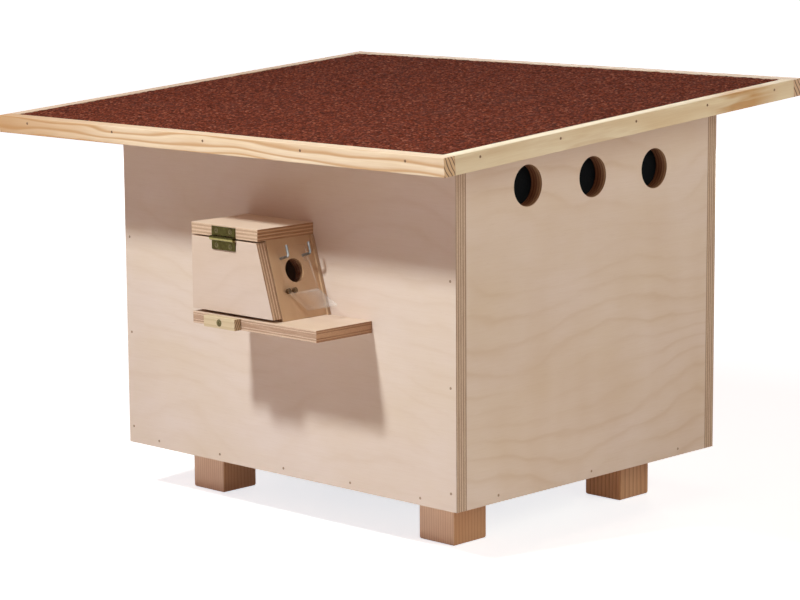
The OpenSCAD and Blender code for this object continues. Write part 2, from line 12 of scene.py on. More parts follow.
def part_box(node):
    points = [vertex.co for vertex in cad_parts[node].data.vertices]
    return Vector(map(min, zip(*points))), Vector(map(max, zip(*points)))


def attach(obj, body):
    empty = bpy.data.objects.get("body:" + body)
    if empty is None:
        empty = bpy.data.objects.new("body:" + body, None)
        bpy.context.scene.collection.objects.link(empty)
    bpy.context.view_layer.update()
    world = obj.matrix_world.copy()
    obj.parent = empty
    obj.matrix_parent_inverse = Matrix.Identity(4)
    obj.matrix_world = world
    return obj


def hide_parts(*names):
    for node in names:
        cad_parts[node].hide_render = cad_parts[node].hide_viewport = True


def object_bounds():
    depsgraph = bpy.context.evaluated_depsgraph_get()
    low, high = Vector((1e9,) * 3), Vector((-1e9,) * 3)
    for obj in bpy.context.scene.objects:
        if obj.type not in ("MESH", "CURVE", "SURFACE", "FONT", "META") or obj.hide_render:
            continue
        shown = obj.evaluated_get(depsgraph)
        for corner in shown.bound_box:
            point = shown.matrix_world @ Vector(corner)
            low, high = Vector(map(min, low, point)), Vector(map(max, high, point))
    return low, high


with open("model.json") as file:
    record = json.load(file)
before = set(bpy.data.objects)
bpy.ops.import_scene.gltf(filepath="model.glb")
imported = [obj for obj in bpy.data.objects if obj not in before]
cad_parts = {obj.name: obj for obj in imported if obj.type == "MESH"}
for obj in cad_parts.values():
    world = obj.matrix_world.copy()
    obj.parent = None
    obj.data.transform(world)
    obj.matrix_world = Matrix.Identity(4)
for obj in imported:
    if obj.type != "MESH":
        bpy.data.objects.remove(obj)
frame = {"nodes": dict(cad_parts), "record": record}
cad_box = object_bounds()

MM = 0.001
X, Y, Z = Vector((1, 0, 0)), Vector((0, 1, 0)), Vector((0, 0, 1))
ROOF_SLOPE = math.radians(4)
PANEL_LEAN = math.radians(17)
UP_ROOF = Vector((0, math.cos(ROOF_SLOPE), math.sin(ROOF_SLOPE)))
ROOF_NORMAL = Vector((0, -math.sin(ROOF_SLOPE), math.cos(ROOF_SLOPE)))
UP_PANEL = Vector((-math.sin(PANEL_LEAN), 0, math.cos(PANEL_LEAN)))
MIDDLE = (Vector(cad_box[0]) + Vector(cad_box[1])) / 2
BODY_OF = {node: body for body, names in frame["record"]["behaviour"]["bodies"].items() for node in names}


# Shader helpers

class Shader:
    """One material's node tree, with short calls for the nodes used here."""

    def __init__(self, name):
        self.material = bpy.data.materials.new(name)
        self.material.use_nodes = True
        self.tree = self.material.node_tree
        self.tree.nodes.clear()
        self.output = self.add("ShaderNodeOutputMaterial")

    def add(self, kind, **settings):
        """A new node with these settings."""
        node = self.tree.nodes.new(kind)
        for key, value in settings.items():
            setattr(node, key, value)
        return node

    def put(self, socket, value):
        """Links a socket's value, or sets a number, a colour or a vector."""
        if isinstance(value, bpy.types.NodeSocket):
            self.tree.links.new(value, socket)
        elif socket.type == "RGBA" and len(value) == 3:
            socket.default_value = (*value, 1)
        else:
            socket.default_value = value

    def fill(self, node, *values):
        """Puts values into a node's sockets, from the first on, and gives its first output."""
        for socket, value in zip(node.inputs, values):
            self.put(socket, value)
        return node.outputs[0]

    def attribute(self, name, output="Fac"):
        """What write_attribute() stored under a name."""
        return self.add("ShaderNodeAttribute", attribute_name=name).outputs[output]

    def place(self):
        """Coordinates on the object, in metres."""
        return self.add("ShaderNodeTexCoord").outputs["Object"]

    def split(self, vector):
        """The three parts of a vector."""
        node = self.add("ShaderNodeSeparateXYZ")
        self.put(node.inputs[0], vector)
        return node.outputs

    def stretch(self, vector, scales):
        """A vector with each part scaled by its own factor."""
        return self.fill(self.add("ShaderNodeVectorMath", operation="MULTIPLY"), vector, scales)

    def math(self, operation, *values):
        """One step of arithmetic."""
        return self.fill(self.add("ShaderNodeMath", operation=operation), *values)

    def product(self, first, *others):
        """Two or more values multiplied."""
        for value in others:
            first = self.math("MULTIPLY", first, value)
        return first

    def span(self, value, low, high, to_low=0.0, to_high=1.0):
        """Maps low..high to to_low..to_high, and stops at both ends."""
        return self.fill(self.add("ShaderNodeMapRange"), value, low, high, to_low, to_high)

    def ramp(self, value, *stops, interpolation="EASE"):
        """Maps a value through (position, grey or colour) stops."""
        node = self.add("ShaderNodeValToRGB")
        node.color_ramp.interpolation = interpolation
        elements = node.color_ramp.elements
        while len(elements) < len(stops):
            elements.new(0.5)
        for element, (position, colour) in zip(elements, stops):
            element.position = position
            element.color = (colour,) * 3 + (1,) if isinstance(colour, (int, float)) else (*colour, 1)
        return self.fill(node, value)

    def noise(self, vector, scale, seed=0.0, detail=2.0, roughness=0.5):
        """Soft noise round 0.5, with a pattern of its own for each seed."""
        node = self.add("ShaderNodeTexNoise", noise_dimensions="4D")
        for key, value in (("Vector", vector), ("W", seed), ("Scale", scale), ("Detail", detail),
                           ("Roughness", roughness)):
            self.put(node.inputs[key], value)
        return node.outputs[0]

    def cells(self, vector, scale, output="Distance"):
        """Cells round scattered points: the distance to a cell's point, or the cell's own colour."""
        node = self.add("ShaderNodeTexVoronoi")
        self.put(node.inputs["Vector"], vector)
        self.put(node.inputs["Scale"], scale)
        return node.outputs[output]

    def mix(self, share, a, b, blend="MIX"):
        """Goes from a towards b by a share, or with MULTIPLY towards a times b."""
        node = self.add("ShaderNodeMix", data_type="RGBA", blend_type=blend)
        for index, value in ((0, share), (6, a), (7, b)):
            self.put(node.inputs[index], value)
        return node.outputs[2]

    def tinted(self, base, tint, layer, low, high, share=1.0):
        """A colour that takes on a tint, up to a share of it, as a layer goes from low to high."""
        return self.mix(self.span(layer, low, high, 0, share), base, tint)

    def bump(self, height, distance, strength):
        """A normal that makes the surface look as uneven as a height says."""
        node = self.add("ShaderNodeBump")
        node.inputs["Strength"].default_value = strength
        node.inputs["Distance"].default_value = distance
        self.put(node.inputs["Height"], height)
        return node.outputs[0]

    def finish(self, **inputs):
        """A Principled surface with these inputs, by name with underscores for spaces."""
        surface = self.add("ShaderNodeBsdfPrincipled")
        for key, value in inputs.items():
            self.put(surface.inputs[key.replace("_", " ")], value)
        self.put(self.output.inputs["Surface"], surface.outputs[0])
        return self.material


class WoodShader(Shader):
    """A shader for wooden pieces, on the coordinates that write_grain() gives them."""

    def __init__(self, name):
        super().__init__(name)
        self.wood = self.attribute("wood", "Vector")
        self.seed = self.attribute("piece")

    def grain(self, scales, detail=2.0, roughness=0.5, shift=0.0):
        """Noise in the wood, stretched by its scales. A shift gives another pattern with like scales."""
        seed = self.math("ADD", self.seed, shift) if shift else self.seed
        return self.noise(self.stretch(self.wood, scales), 1, seed, detail, roughness)


# Plywood

# noise scales, in cycles a metre along the grain, across it and through the board
VENEER_DRIFT = (4.6, 6.5, 1)
VENEER_RIPPLE = (18, 30, 1)
VENEER_PATCH = (7, 13, 1)
VENEER_CLOUD = (7, 15, 1)
VENEER_BLUSH = (9, 17, 1)
VENEER_FLAME = (26, 6, 1)
VENEER_FIBRE = (45, 1300, 40)
VENEER_FLECK = (110, 2200, 40)
EDGE_GRIT = (700, 700, 2600)
EDGE_STREAK = (60, 60, 1800)

# growth lines: how far apart, how many pitches they wander, and how dark each is from line to line
RING_PITCH = 20 * MM
RING_DRIFT = 8
RING_RIPPLE = 1.2
RING_LINE = (0, 0.2), (0.3, 0), (0.62, 0.2), (0.88, 1), (0.96, 0.55), (1, 0.2)

# a glue line's thickness in millimetres, and the tint of a bored hole at its rim and deep inside, where the
# darker tint is painted shade, partly the darker cut end grain
GLUE_LINE = 0.14
BORE_RIM = (1.0, 0.84, 0.66)
BORE_DEEP_SHADE = (0.46, 0.27, 0.18)


def veneer(s, colours, fibre, figure, fleck):
    """The colour of a board's broad faces: rotary-cut veneer, its markings as strong as figure says."""
    light, warm, line = colours

    # growth lines, which wander along the board and fade out in patches
    across = s.split(s.wood)[1]
    drift = s.grain(VENEER_DRIFT, 1.4, 0.4)
    rings = s.math("MULTIPLY_ADD", drift, RING_DRIFT, s.math("DIVIDE", across, RING_PITCH))
    rings = s.math("MULTIPLY_ADD", s.grain(VENEER_RIPPLE), RING_RIPPLE, rings)
    ring_line = s.ramp(s.math("FRACT", rings), *RING_LINE)
    shown = s.span(s.grain(VENEER_PATCH, shift=1.7), 0.40, 0.60, 0.08, 1)

    face = s.tinted(light, warm, s.grain(VENEER_CLOUD, 4, 0.62), 0.34, 0.68)
    face = s.tinted(face, line, s.grain(VENEER_BLUSH, shift=3.1), 0.46, 0.75, 0.16 * figure)
    face = s.mix(s.product(ring_line, shown, 0.34 * figure), face, line)
    face = s.tinted(face, line, s.grain(VENEER_FLAME, 1.5, shift=4.9), 0.42, 0.68, 0.14 * figure)
    face = s.tinted(face, line, fibre, 0.3, 0.72, 0.10)
    return s.tinted(face, fleck, s.grain(VENEER_FLECK, 1), 0.66, 0.78, 0.12)


def ply_stack(s, depth, widths):
    """Two masks down a board's thickness: plies that lie across the board, and the glue between plies."""
    total = sum(widths)
    stops = []
    edge = 0
    for number, width in enumerate(widths):
        stops.append((edge / total, (number % 2, 1, 0)))
        stops.append(((edge + GLUE_LINE) / total, (number % 2, 0, 0)))
        edge += width
    across, glue, _ = s.split(s.ramp(depth, *stops, interpolation="CONSTANT"))
    return across, glue


def ply_edge(s, colours, widths, end_tint, long_edge):
    """The colour and the relief of a board's cut faces, where every other ply shows its end grain."""
    pale, dark, glue = colours
    on_end = s.attribute("cross")
    cross_ply, joint = ply_stack(s, s.attribute("ply"), widths)
    end_grain = s.math("ABSOLUTE", s.math("SUBTRACT", on_end, cross_ply))
    grit = s.grain(EDGE_GRIT, roughness=0.6)
    streak = s.grain(EDGE_STREAK)
    clear = s.span(on_end, 0, 1, long_edge, 1)
    edge = s.mix(s.product(end_grain, s.span(streak, 0.3, 0.7, 0.45, 1), clear), pale, dark)
    edge = s.tinted(edge, glue, grit, 0.4, 0.72, 0.28)
    edge = s.mix(s.product(joint, s.span(streak, 0.35, 0.65, 0.25, 0.8), clear), edge, glue)
    # painted shade: bored holes get darker the further in, partly the darker cut end grain
    bore_shade = s.tinted(BORE_RIM, BORE_DEEP_SHADE, s.attribute("inward"), 0.05, 0.55)
    edge = s.mix(s.attribute("bore"), edge, bore_shade, "MULTIPLY")
    edge = s.mix(on_end, edge, end_tint, "MULTIPLY")
    return edge, s.math("MULTIPLY_ADD", end_grain, -0.5, grit)


def ply_wood(name, face_colours, edge_colours, widths, figure=1.0, end_tint=(1, 1, 1), long_edge=1.0):
    """Plywood: veneer on its two broad faces and the stacked plies on its cut faces.

    The colours are (light, warm, line) and (pale ply, dark ply, glue). The plies show on the long
    edges as strongly as long_edge says, and end_tint tints the ends across the board."""
    s = WoodShader(name)
    fibre = s.grain(VENEER_FIBRE, roughness=0.6)
    face = veneer(s, face_colours, fibre, figure, edge_colours[1])
    edge, edge_relief = ply_edge(s, edge_colours, widths, end_tint, long_edge)
    on_edge = s.attribute("edge")
    relief = s.mix(on_edge, s.math("MULTIPLY", fibre, 0.4), edge_relief)
    return s.finish(
        Base_Color=s.mix(on_edge, face, edge),
        Roughness=s.span(fibre, 0.3, 0.7, 0.52, 0.66),
        Specular_IOR_Level=0.25,
        Normal=s.bump(relief, 0.15 * MM, 0.5))


# Softwood

# noise scales, in cycles a metre along the grain, across it and through the piece
PINE_DRIFT = (6, 30, 30)
PINE_FIBRE = (50, 1400, 1400)
PINE_TONE = (6, 25, 25)
PINE_STAIN = (9, 60, 60)
PINE_RESIN = (14, 160, 160)

# how dark the wood is from ring to ring, and how far a dim end reaches
LATE_WOOD = (0, 0.12), (0.08, 0), (0.5, 0.22), (0.84, 1), (0.93, 0.75), (1, 0.12)
DIM_LENGTH = 180 * MM
END_LINE = (0.100, 0.042, 0.025)
RESIN = (0.520, 0.260, 0.080)


def resin_streak(s, colour, along, middle, half):
    """A streak of resin round one place along the piece."""
    off = s.math("ABSOLUTE", s.math("SUBTRACT", along, middle))
    resin = s.product(s.span(off, 0.3 * half, half, 1, 0), s.span(s.grain(PINE_RESIN), 0.42, 0.56, 0, 0.85))
    return s.mix(resin, colour, RESIN)


def soft_wood(name, colours, pitch, turn, wander, contrast=1.0, heart=0.0, dim_end=0.0, side=(1, 1, 1),
              streak=None):
    """Sawn softwood: growth rings a pitch apart, turned by so many degrees, seen on every face.

    The colours are (pale, mid, dark). heart is how dark its stains are, dim_end how dark its first end
    is, side a painted shade on its two edge faces, and streak a resin streak's (middle, half length)."""
    pale, mid, dark = colours
    angle = math.radians(turn)
    s = WoodShader(name)
    u, v, w = s.split(s.wood)
    slant = s.math("ADD", s.math("MULTIPLY", v, math.cos(angle)), s.math("MULTIPLY", w, math.sin(angle)))
    drift = s.math("MULTIPLY", s.grain(PINE_DRIFT, roughness=0.4), wander)
    rings = s.math("ADD", s.math("DIVIDE", slant, pitch), drift)
    late = s.ramp(s.math("FRACT", rings), *LATE_WOOD)
    fibre = s.grain(PINE_FIBRE, roughness=0.6)
    colour = s.tinted(pale, mid, s.grain(PINE_TONE), 0.32, 0.68)
    colour = s.mix(s.math("MULTIPLY", late, 0.62 * contrast), colour, dark)
    colour = s.tinted(colour, dark, fibre, 0.35, 0.7, 0.16)
    colour = s.tinted(colour, dark, s.grain(PINE_STAIN, 3, 0.55, 5.3), 0.55, 0.72, heart)
    colour = s.mix(s.span(u, 0, DIM_LENGTH, dim_end, 0), colour, dark)
    if streak:
        colour = resin_streak(s, colour, u, *streak)
    # painted shade: side darkens the piece's two edge faces
    colour = s.mix(s.attribute("edge"), colour, side, "MULTIPLY")
    end_grain = s.tinted(s.mix(0.45, mid, dark), END_LINE, late, 0.35, 0.9, 0.92)
    return s.finish(
        Base_Color=s.mix(s.attribute("cross"), colour, end_grain),
        Roughness=s.span(fibre, 0.3, 0.7, 0.46, 0.6),
        Specular_IOR_Level=0.32,
        Normal=s.bump(s.math("ADD", fibre, s.math("MULTIPLY", late, 0.6)), 0.12 * MM, 0.5))


# Felt, metal and plastic

# noise and cell scales, in cycles a metre
GRAINS = 470
FINE_GRAINS = 1150
WORN_PATCHES = 14
MOTTLE = 260
SCRATCHES = (900, 900, 9000)
SMEAR = 160

FELT_SHADES = ((0, (0.062, 0.011, 0.005)), (0.3, (0.140, 0.027, 0.013)), (0.7, (0.220, 0.047, 0.023)),
               (0.92, (0.305, 0.077, 0.041)), (1, (0.400, 0.130, 0.080)))
FELT_DARK = (0.080, 0.014, 0.007)
BITUMEN = (0.020, 0.005, 0.003)
FELT_WORN = (0.080, 0.048, 0.040)


def mineral_felt():
    """Roofing felt: dark bitumen under brick-red mineral grit, each grain with a shade of its own."""
    s = Shader("felt_grit")
    place = s.place()
    shade = s.split(s.cells(place, GRAINS, "Color"))[0]
    fine = s.split(s.cells(place, FINE_GRAINS, "Color"))[1]
    off_middle = s.cells(place, GRAINS)
    colour = s.tinted(s.ramp(shade, *FELT_SHADES), FELT_DARK, fine, 0, 1, 0.45)
    colour = s.tinted(colour, BITUMEN, off_middle, 0.42, 0.75, 0.65)
    colour = s.tinted(colour, FELT_WORN, s.noise(place, WORN_PATCHES, 0.0, 3, 0.6), 0.58, 0.78, 0.25)
    return s.finish(
        Base_Color=colour,
        Roughness=s.span(shade, 0, 1, 0.8, 0.95),
        Specular_IOR_Level=0.05,
        Normal=s.bump(s.math("ADD", off_middle, fine), -0.5 * MM, 0.6))


def metal(name, colour, tint, roughness, highlight_band=None):
    """Small metal pieces: fine scratches, and a tint that comes and goes.

    A painted highlight band lies along X at one height, as on a hinge's knuckle: (height, half width,
    colour)."""
    s = Shader(name)
    place = s.place()
    mottle = s.noise(place, MOTTLE, 0.0, 4, 0.7)
    scratches = s.noise(s.stretch(place, SCRATCHES), 1)
    shade = s.tinted(colour, tint, mottle, 0.35, 0.7)
    # painted highlight: a bright band at one height
    if highlight_band:
        height, half, bright = highlight_band
        off = s.math("ABSOLUTE", s.math("SUBTRACT", s.split(place)[2], height))
        shade = s.mix(s.span(off, 0.7 * half, half, 1, 0), shade, bright)
    return s.finish(
        Base_Color=shade,
        Metallic=1.0,
        Roughness=s.span(mottle, 0.3, 0.7, roughness * 0.8, roughness * 1.3),
        Normal=s.bump(scratches, 0.02 * MM, 0.25))


def plastic(name, colour, roughness, grit, shine=0.4):
    """Dark moulded or drawn plastic, with a fine grain in its colour, gloss and surface."""
    s = Shader(name)
    grain = s.noise(s.place(), grit, 0.0, 3, 0.6)
    paler = tuple(c * 1.6 + 0.004 for c in colour)
    return s.finish(
        Base_Color=s.tinted(colour, paler, grain, 0.4, 0.7),
        Roughness=s.span(grain, 0.3, 0.7, roughness * 0.85, roughness * 1.15),
        Specular_IOR_Level=shine,
        Normal=s.bump(grain, 0.03 * MM, 0.4))


def clear_sheet(end, back):
    """Clear acrylic, ending at x = end and y = back: a painted whitish sheen for its reflections, brightest
    at its far back corner.
    """
    s = Shader("clear_acrylic")
    smear = s.noise(s.place(), SMEAR, 0.0, 3, 0.6)
    x, y, _ = s.split(s.place())
    # painted highlight, strongest at the flap's far back corner
    corner_highlight = s.product(s.span(y, back - 22 * MM, back, 0.25, 1.3), s.span(x, end - 8 * MM, end, 1, 2.2))
    painted_sheen = s.math("MULTIPLY", s.attribute("painted_sheen"), corner_highlight)
    return s.finish(
        Base_Color=s.mix(painted_sheen, (0.80, 0.82, 0.83), (0.93, 0.93, 0.91)),
        Roughness=s.span(smear, 0.35, 0.7, 0.05, 0.14),
        IOR=1.49,
        Specular_IOR_Level=0.5,
        Alpha=s.math("MULTIPLY", painted_sheen, s.span(smear, 0.3, 0.7, 0.8, 1.1)))


# Materials

# the thickness of each ply of a board, in millimetres
WALL_PLIES = (1.2, 1.5, 1.3, 1.6, 1.1, 1.5, 1.3, 1.4, 1.1)
VESTIBULE_PLIES = (1.5, 1.2, 1.7, 1.3, 1.6, 1.2, 1.5)
BASE_PLIES = (1.5, 1.0, 0.9, 3.6, 0.9, 0.8, 1.3)
NEST_PLIES = (1.1, 1.4, 1.0, 1.4, 1.1)

# a board's broad faces: light, warm, line
BIRCH_FACE = (0.755, 0.628, 0.575), (0.725, 0.588, 0.490), (0.540, 0.350, 0.215)
# the door's veneer is the vestibule's made darker, as painted shade, since the door stands nearer the key
# lamp
DOOR_SHADED_FACE = (0.680, 0.540, 0.475), (0.655, 0.500, 0.405), (0.480, 0.320, 0.215)
VESTIBULE_FACE = (0.745, 0.580, 0.475), (0.720, 0.545, 0.410), (0.500, 0.335, 0.225)
PANEL_FACE = (0.610, 0.410, 0.265), (0.540, 0.345, 0.210), (0.400, 0.225, 0.120)
NEST_FACE = (0.720, 0.560, 0.410), (0.660, 0.490, 0.340), (0.480, 0.320, 0.200)

# a board's cut faces: pale ply, dark ply, glue
BIRCH_EDGE = (0.640, 0.480, 0.370), (0.330, 0.205, 0.145), (0.150, 0.082, 0.052)
VESTIBULE_EDGE = (0.690, 0.490, 0.350), (0.300, 0.150, 0.080), (0.150, 0.065, 0.035)
BASE_EDGE = (0.700, 0.500, 0.375), (0.400, 0.230, 0.150), (0.140, 0.060, 0.032)
PANEL_EDGE = (0.640, 0.450, 0.310), (0.330, 0.190, 0.110), (0.150, 0.075, 0.040)
NEST_EDGE = (0.560, 0.410, 0.280), (0.300, 0.190, 0.120), (0.130, 0.075, 0.045)

BIRCH = ply_wood("birch_ply", BIRCH_FACE, BIRCH_EDGE, WALL_PLIES, figure=0.8)
CALM_BIRCH = ply_wood("calm_birch_ply", BIRCH_FACE, BIRCH_EDGE, WALL_PLIES, figure=0.35)
VESTIBULE_PLY = ply_wood("vestibule_ply", VESTIBULE_FACE, VESTIBULE_EDGE, VESTIBULE_PLIES, figure=0.5,
                         end_tint=(0.86, 0.73, 0.60), long_edge=0.6)
DOOR_PLY = ply_wood("door_ply", DOOR_SHADED_FACE, VESTIBULE_EDGE, VESTIBULE_PLIES, figure=0.35)
BASE_PLY = ply_wood("base_ply", VESTIBULE_FACE, BASE_EDGE, BASE_PLIES, figure=0.5,
                    end_tint=(0.72, 0.57, 0.45))
PANEL_PLY = ply_wood("panel_ply", PANEL_FACE, PANEL_EDGE, VESTIBULE_PLIES)
NEST_PLY = ply_wood("nest_ply", NEST_FACE, NEST_EDGE, NEST_PLIES)

# a softwood piece: pale, mid, dark
PINE_SHADES = (0.770, 0.610, 0.480), (0.720, 0.530, 0.390), (0.480, 0.260, 0.120)
FRONT_SHADES = (0.845, 0.695, 0.535), (0.795, 0.600, 0.410), (0.490, 0.240, 0.085)
PALE_SHADES = (0.840, 0.735, 0.575), (0.810, 0.665, 0.460), (0.540, 0.320, 0.150)
# the legs are paler than their wood, as painted light on their shaded front faces; the rear right leg's
# wood is darker and deeper orange, as painted shade
LEG_SHADES = (0.930, 0.690, 0.550), (0.870, 0.595, 0.435), (0.520, 0.250, 0.130)
SHADED_LEG_SHADES = (0.800, 0.450, 0.250), (0.700, 0.350, 0.170), (0.360, 0.120, 0.045)
BUTTON_SHADES = (0.690, 0.555, 0.375), (0.640, 0.490, 0.315), (0.430, 0.290, 0.160)

PINE = soft_wood("pine", PINE_SHADES, pitch=4.0 * MM, turn=119, wander=5.0, heart=0.20)
PINE_FRONT = soft_wood("pine_front", FRONT_SHADES, pitch=2.7 * MM, turn=119, wander=6.0, contrast=1.25,
                       heart=0.20, dim_end=0.72)
PINE_PALE = soft_wood("pine_pale", PALE_SHADES, pitch=9 * MM, turn=70, wander=4.0, contrast=0.5,
                      heart=0.45, streak=(355 * MM, 50 * MM))
# the legs' edge faces take a painted shade through side
LEG_WOOD = soft_wood("leg_wood", LEG_SHADES, pitch=2.2 * MM, turn=35, wander=2.6, contrast=0.6,
                     side=(0.65, 0.50, 0.36))
# the rear right leg: darker, deeper orange wood and darker edge faces, all painted shade
SHADED_LEG_WOOD = soft_wood("leg_wood_painted_shade", SHADED_LEG_SHADES, pitch=3.4 * MM, turn=35, wander=2.6, contrast=0.9,
                      side=(0.75, 0.77, 0.80))
BUTTON_WOOD = soft_wood("button_wood", BUTTON_SHADES, pitch=2.2 * MM, turn=60, wander=1.2, contrast=0.6)

FELT = mineral_felt()

# a painted highlight runs along the hinge's knuckle just below the middle of its pin
PIN_LOW, PIN_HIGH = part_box("hinge_pin")
HIGHLIGHT_HEIGHT = (PIN_LOW.z + PIN_HIGH.z) / 2 - 0.7 * MM
BRASS = metal("brass", (0.088, 0.080, 0.022), (0.045, 0.028, 0.007), 0.30,
              highlight_band=(HIGHLIGHT_HEIGHT, 1.1 * MM, (0.310, 0.265, 0.100)))
BRASS_PIN = metal("brass_pin", (0.160, 0.135, 0.045), (0.080, 0.064, 0.022), 0.25)
BRASS_SCREW = metal("brass_screw", (0.190, 0.160, 0.075), (0.060, 0.046, 0.018), 0.14)
DARK_SCREW = metal("dark_screw", (0.190, 0.130, 0.075), (0.090, 0.055, 0.030), 0.38)
ZINC = metal("zinc", (0.380, 0.390, 0.390), (0.160, 0.165, 0.170), 0.36)
STEEL = metal("dark_steel", (0.280, 0.170, 0.110), (0.140, 0.078, 0.048), 0.6)
BRAD = metal("brad_steel", (0.400, 0.280, 0.200), (0.230, 0.150, 0.100), 0.6)
YELLOW_ZINC = metal("yellow_zinc", (0.620, 0.480, 0.230), (0.480, 0.350, 0.150), 0.3)

GAUZE = plastic("gauze", (0.006, 0.007, 0.009), 0.9, grit=900, shine=0.05)
TUBE = plastic("tube", (0.030, 0.030, 0.032), 0.42, grit=500)
FLAP_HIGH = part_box("entrance_flap")[1]
CLEAR = clear_sheet(FLAP_HIGH.x, FLAP_HIGH.y)


# Making a piece

# corners this near are one, and faces that turn by less than this are one flat face
WELD = 0.002 * MM
FLAT_ANGLE = math.radians(0.5)

# edges that are sharper and longer than this are eased
CORNER_ANGLE = math.radians(30)
SHORTEST_EDGE = 1.2 * MM

# how squarely a broad face looks through the board, and an end along it
BROAD_FACING = 0.8
END_FACING = 0.7

# a bored hole's facets are shorter than this, and lie further in than this
BORE_FACET = 14 * MM
BORE_MARGIN = 3 * MM

# each board's noise is seeded with its number times this
SEED_STEP = 7.3
board_numbers = itertools.count(1)


def smooth_by_angle(mesh, degrees):
    """Smooth shading, with the edges that turn by more than an angle kept sharp."""
    mesh.shade_smooth()
    mesh.set_sharp_from_angle(angle=math.radians(degrees))


def copy_of(node):
    """A bmesh of a CAD node with its corners joined up and its flat faces whole again."""
    bm = bmesh.new()
    bm.from_mesh(frame["nodes"][node].data)
    bmesh.ops.remove_doubles(bm, verts=bm.verts, dist=WELD)
    bmesh.ops.dissolve_limit(bm, angle_limit=FLAT_ANGLE, verts=bm.verts, edges=bm.edges)
    return bm


def ease(bm, width, segments=2):
    """Rounds the longer corners, as sandpaper does."""
    edges = [e for e in bm.edges if len(e.link_faces) == 2 and e.calc_length() > SHORTEST_EDGE
             and e.calc_face_angle() > CORNER_ANGLE]
    bmesh.ops.bevel(bm, geom=edges, offset=width, offset_type="OFFSET", segments=segments, profile=0.5,
                    affect="EDGES", clamp_overlap=True)


def put_piece(name, bm, node, material, smooth=30):
    """Turns a bmesh into a piece that stands for a CAD node and rides on that node's body."""
    mesh = bpy.data.meshes.new(name)
    bm.to_mesh(mesh)
    bm.free()
    smooth_by_angle(mesh, smooth)
    mesh.materials.append(material)
    piece = bpy.data.objects.new(name, mesh)
    bpy.context.scene.collection.objects.link(piece)
    even = piece.modifiers.new("even", "WEIGHTED_NORMAL")
    even.keep_sharp = True
    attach(piece, BODY_OF[node])
    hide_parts(node)
    return piece


def write_attribute(mesh, name, kind, domain, values):
    """Stores one value for each point or face, for the shaders to read."""
    layer = mesh.attributes.new(name, kind, domain)
    key = "vector" if kind == "FLOAT_VECTOR" else "value"
    layer.data.foreach_set(key, np.asarray(values, np.float32).ravel())


def write_grain(mesh, along, across, number):
    """Writes where each point lies in the board, and which faces are cut edges, ends and bores."""
    axes = np.array([along, across, along.cross(across)])
    points = np.array([v.co for v in mesh.vertices]) @ axes.T
    faces_out = (points.mean(0) - axes @ MIDDLE)[2] > 0
    points -= points.min(0)
    depth = points[:, 2] / points[:, 2].max()
    write_attribute(mesh, "wood", "FLOAT_VECTOR", "POINT", points)
    write_attribute(mesh, "ply", "FLOAT", "POINT", depth)
    write_attribute(mesh, "inward", "FLOAT", "POINT", 1 - depth if faces_out else depth)
    write_attribute(mesh, "piece", "FLOAT", "POINT", np.full(len(points), number * SEED_STEP))

    normals = np.abs(np.array([p.normal for p in mesh.polygons]) @ axes.T)
    on_edge = normals[:, 2] < BROAD_FACING
    corners = [points[list(p.vertices)] for p in mesh.polygons]
    short = np.array([(c.max(0) - c.min(0)).max() < BORE_FACET for c in corners])
    middles = np.array([c.mean(0) for c in corners])
    inside = np.minimum(middles, points.max(0) - middles)[:, :2].min(1) > BORE_MARGIN
    write_attribute(mesh, "edge", "FLOAT", "FACE", on_edge)
    write_attribute(mesh, "cross", "FLOAT", "FACE", normals[:, 0] > END_FACING)
    write_attribute(mesh, "bore", "FLOAT", "FACE", short & inside & on_edge)


def board(node, along, across, material=BIRCH, eased=0.4):
    """A wooden piece in place of its plain CAD solid: same size, corners eased, grain along one axis."""
    bm = copy_of(node)
    ease(bm, eased * MM)
    piece = put_piece(node + "_wood", bm, node, material)
    write_grain(piece.data, along, across, next(board_numbers))


def dress(nodes, material):
    """CAD nodes that stay as they are, with a finish."""
    for name in nodes:
        node = frame["nodes"][name]
        node.data.materials.clear()
        node.data.materials.append(material)


# Pieces

GAUZE_PITCH = 1.0 * MM
GAUZE_STRAND = 0.6 * MM

# the felt's grains: how far apart, how deep between, how far the edge lies below and the grains above the
# plain sheet, and the share of a grain by which each is shifted
FELT_GRAIN = 2 * MM
FELT_DENT = 0.9 * MM
FELT_SKIRT = 0.5 * MM
FELT_PROUD = 0.7 * MM
FELT_SHIFT = 0.3
FELT_SEED = 11

# the flap's faces: the least area of a broad one, how squarely a lip face looks up or down, and the painted
# sheen on each
BROAD_AREA = 100 * MM * MM
LIP_FACING = 0.6
BROAD_SHEEN = 0.008
BROAD_LIP_SHEEN = 0.10
NARROW_SHEEN = 0.10
NARROW_LIP_SHEEN = 0.22


def make_box():
    """The box's walls, floor, legs and vent gauze."""
    board("front_wall", X, Z, CALM_BIRCH)
    board("rear_wall", X, Z)
    board("left_wall", Y, Z)
    board("right_wall", Y, Z)
    board("floor_board", X, Y)
    for name in ("leg_front_left", "leg_front_right", "leg_rear_left"):
        board(name, Z, X, LEG_WOOD, 2)
    # the rear right leg takes the darker wood of painted shade
    board("leg_rear_right", Z, X, SHADED_LEG_WOOD, 2)
    make_gauze("left_vent_gauze")
    make_gauze("right_vent_gauze")


def make_roof():
    """The roof's board, the strips round it, the battens under it and its felt."""
    board("roof_board", X, UP_ROOF)
    board("roof_strip_front", X, ROOF_NORMAL, PINE_FRONT, 0.5)
    board("roof_strip_rear", X, ROOF_NORMAL, PINE, 0.5)
    board("roof_strip_left", UP_ROOF, ROOF_NORMAL, PINE, 0.5)
    board("roof_strip_right", UP_ROOF, ROOF_NORMAL, PINE_PALE, 0.5)
    board("roof_batten_left", UP_ROOF, X, PINE, 0.6)
    board("roof_batten_right", UP_ROOF, X, PINE, 0.6)
    make_felt()


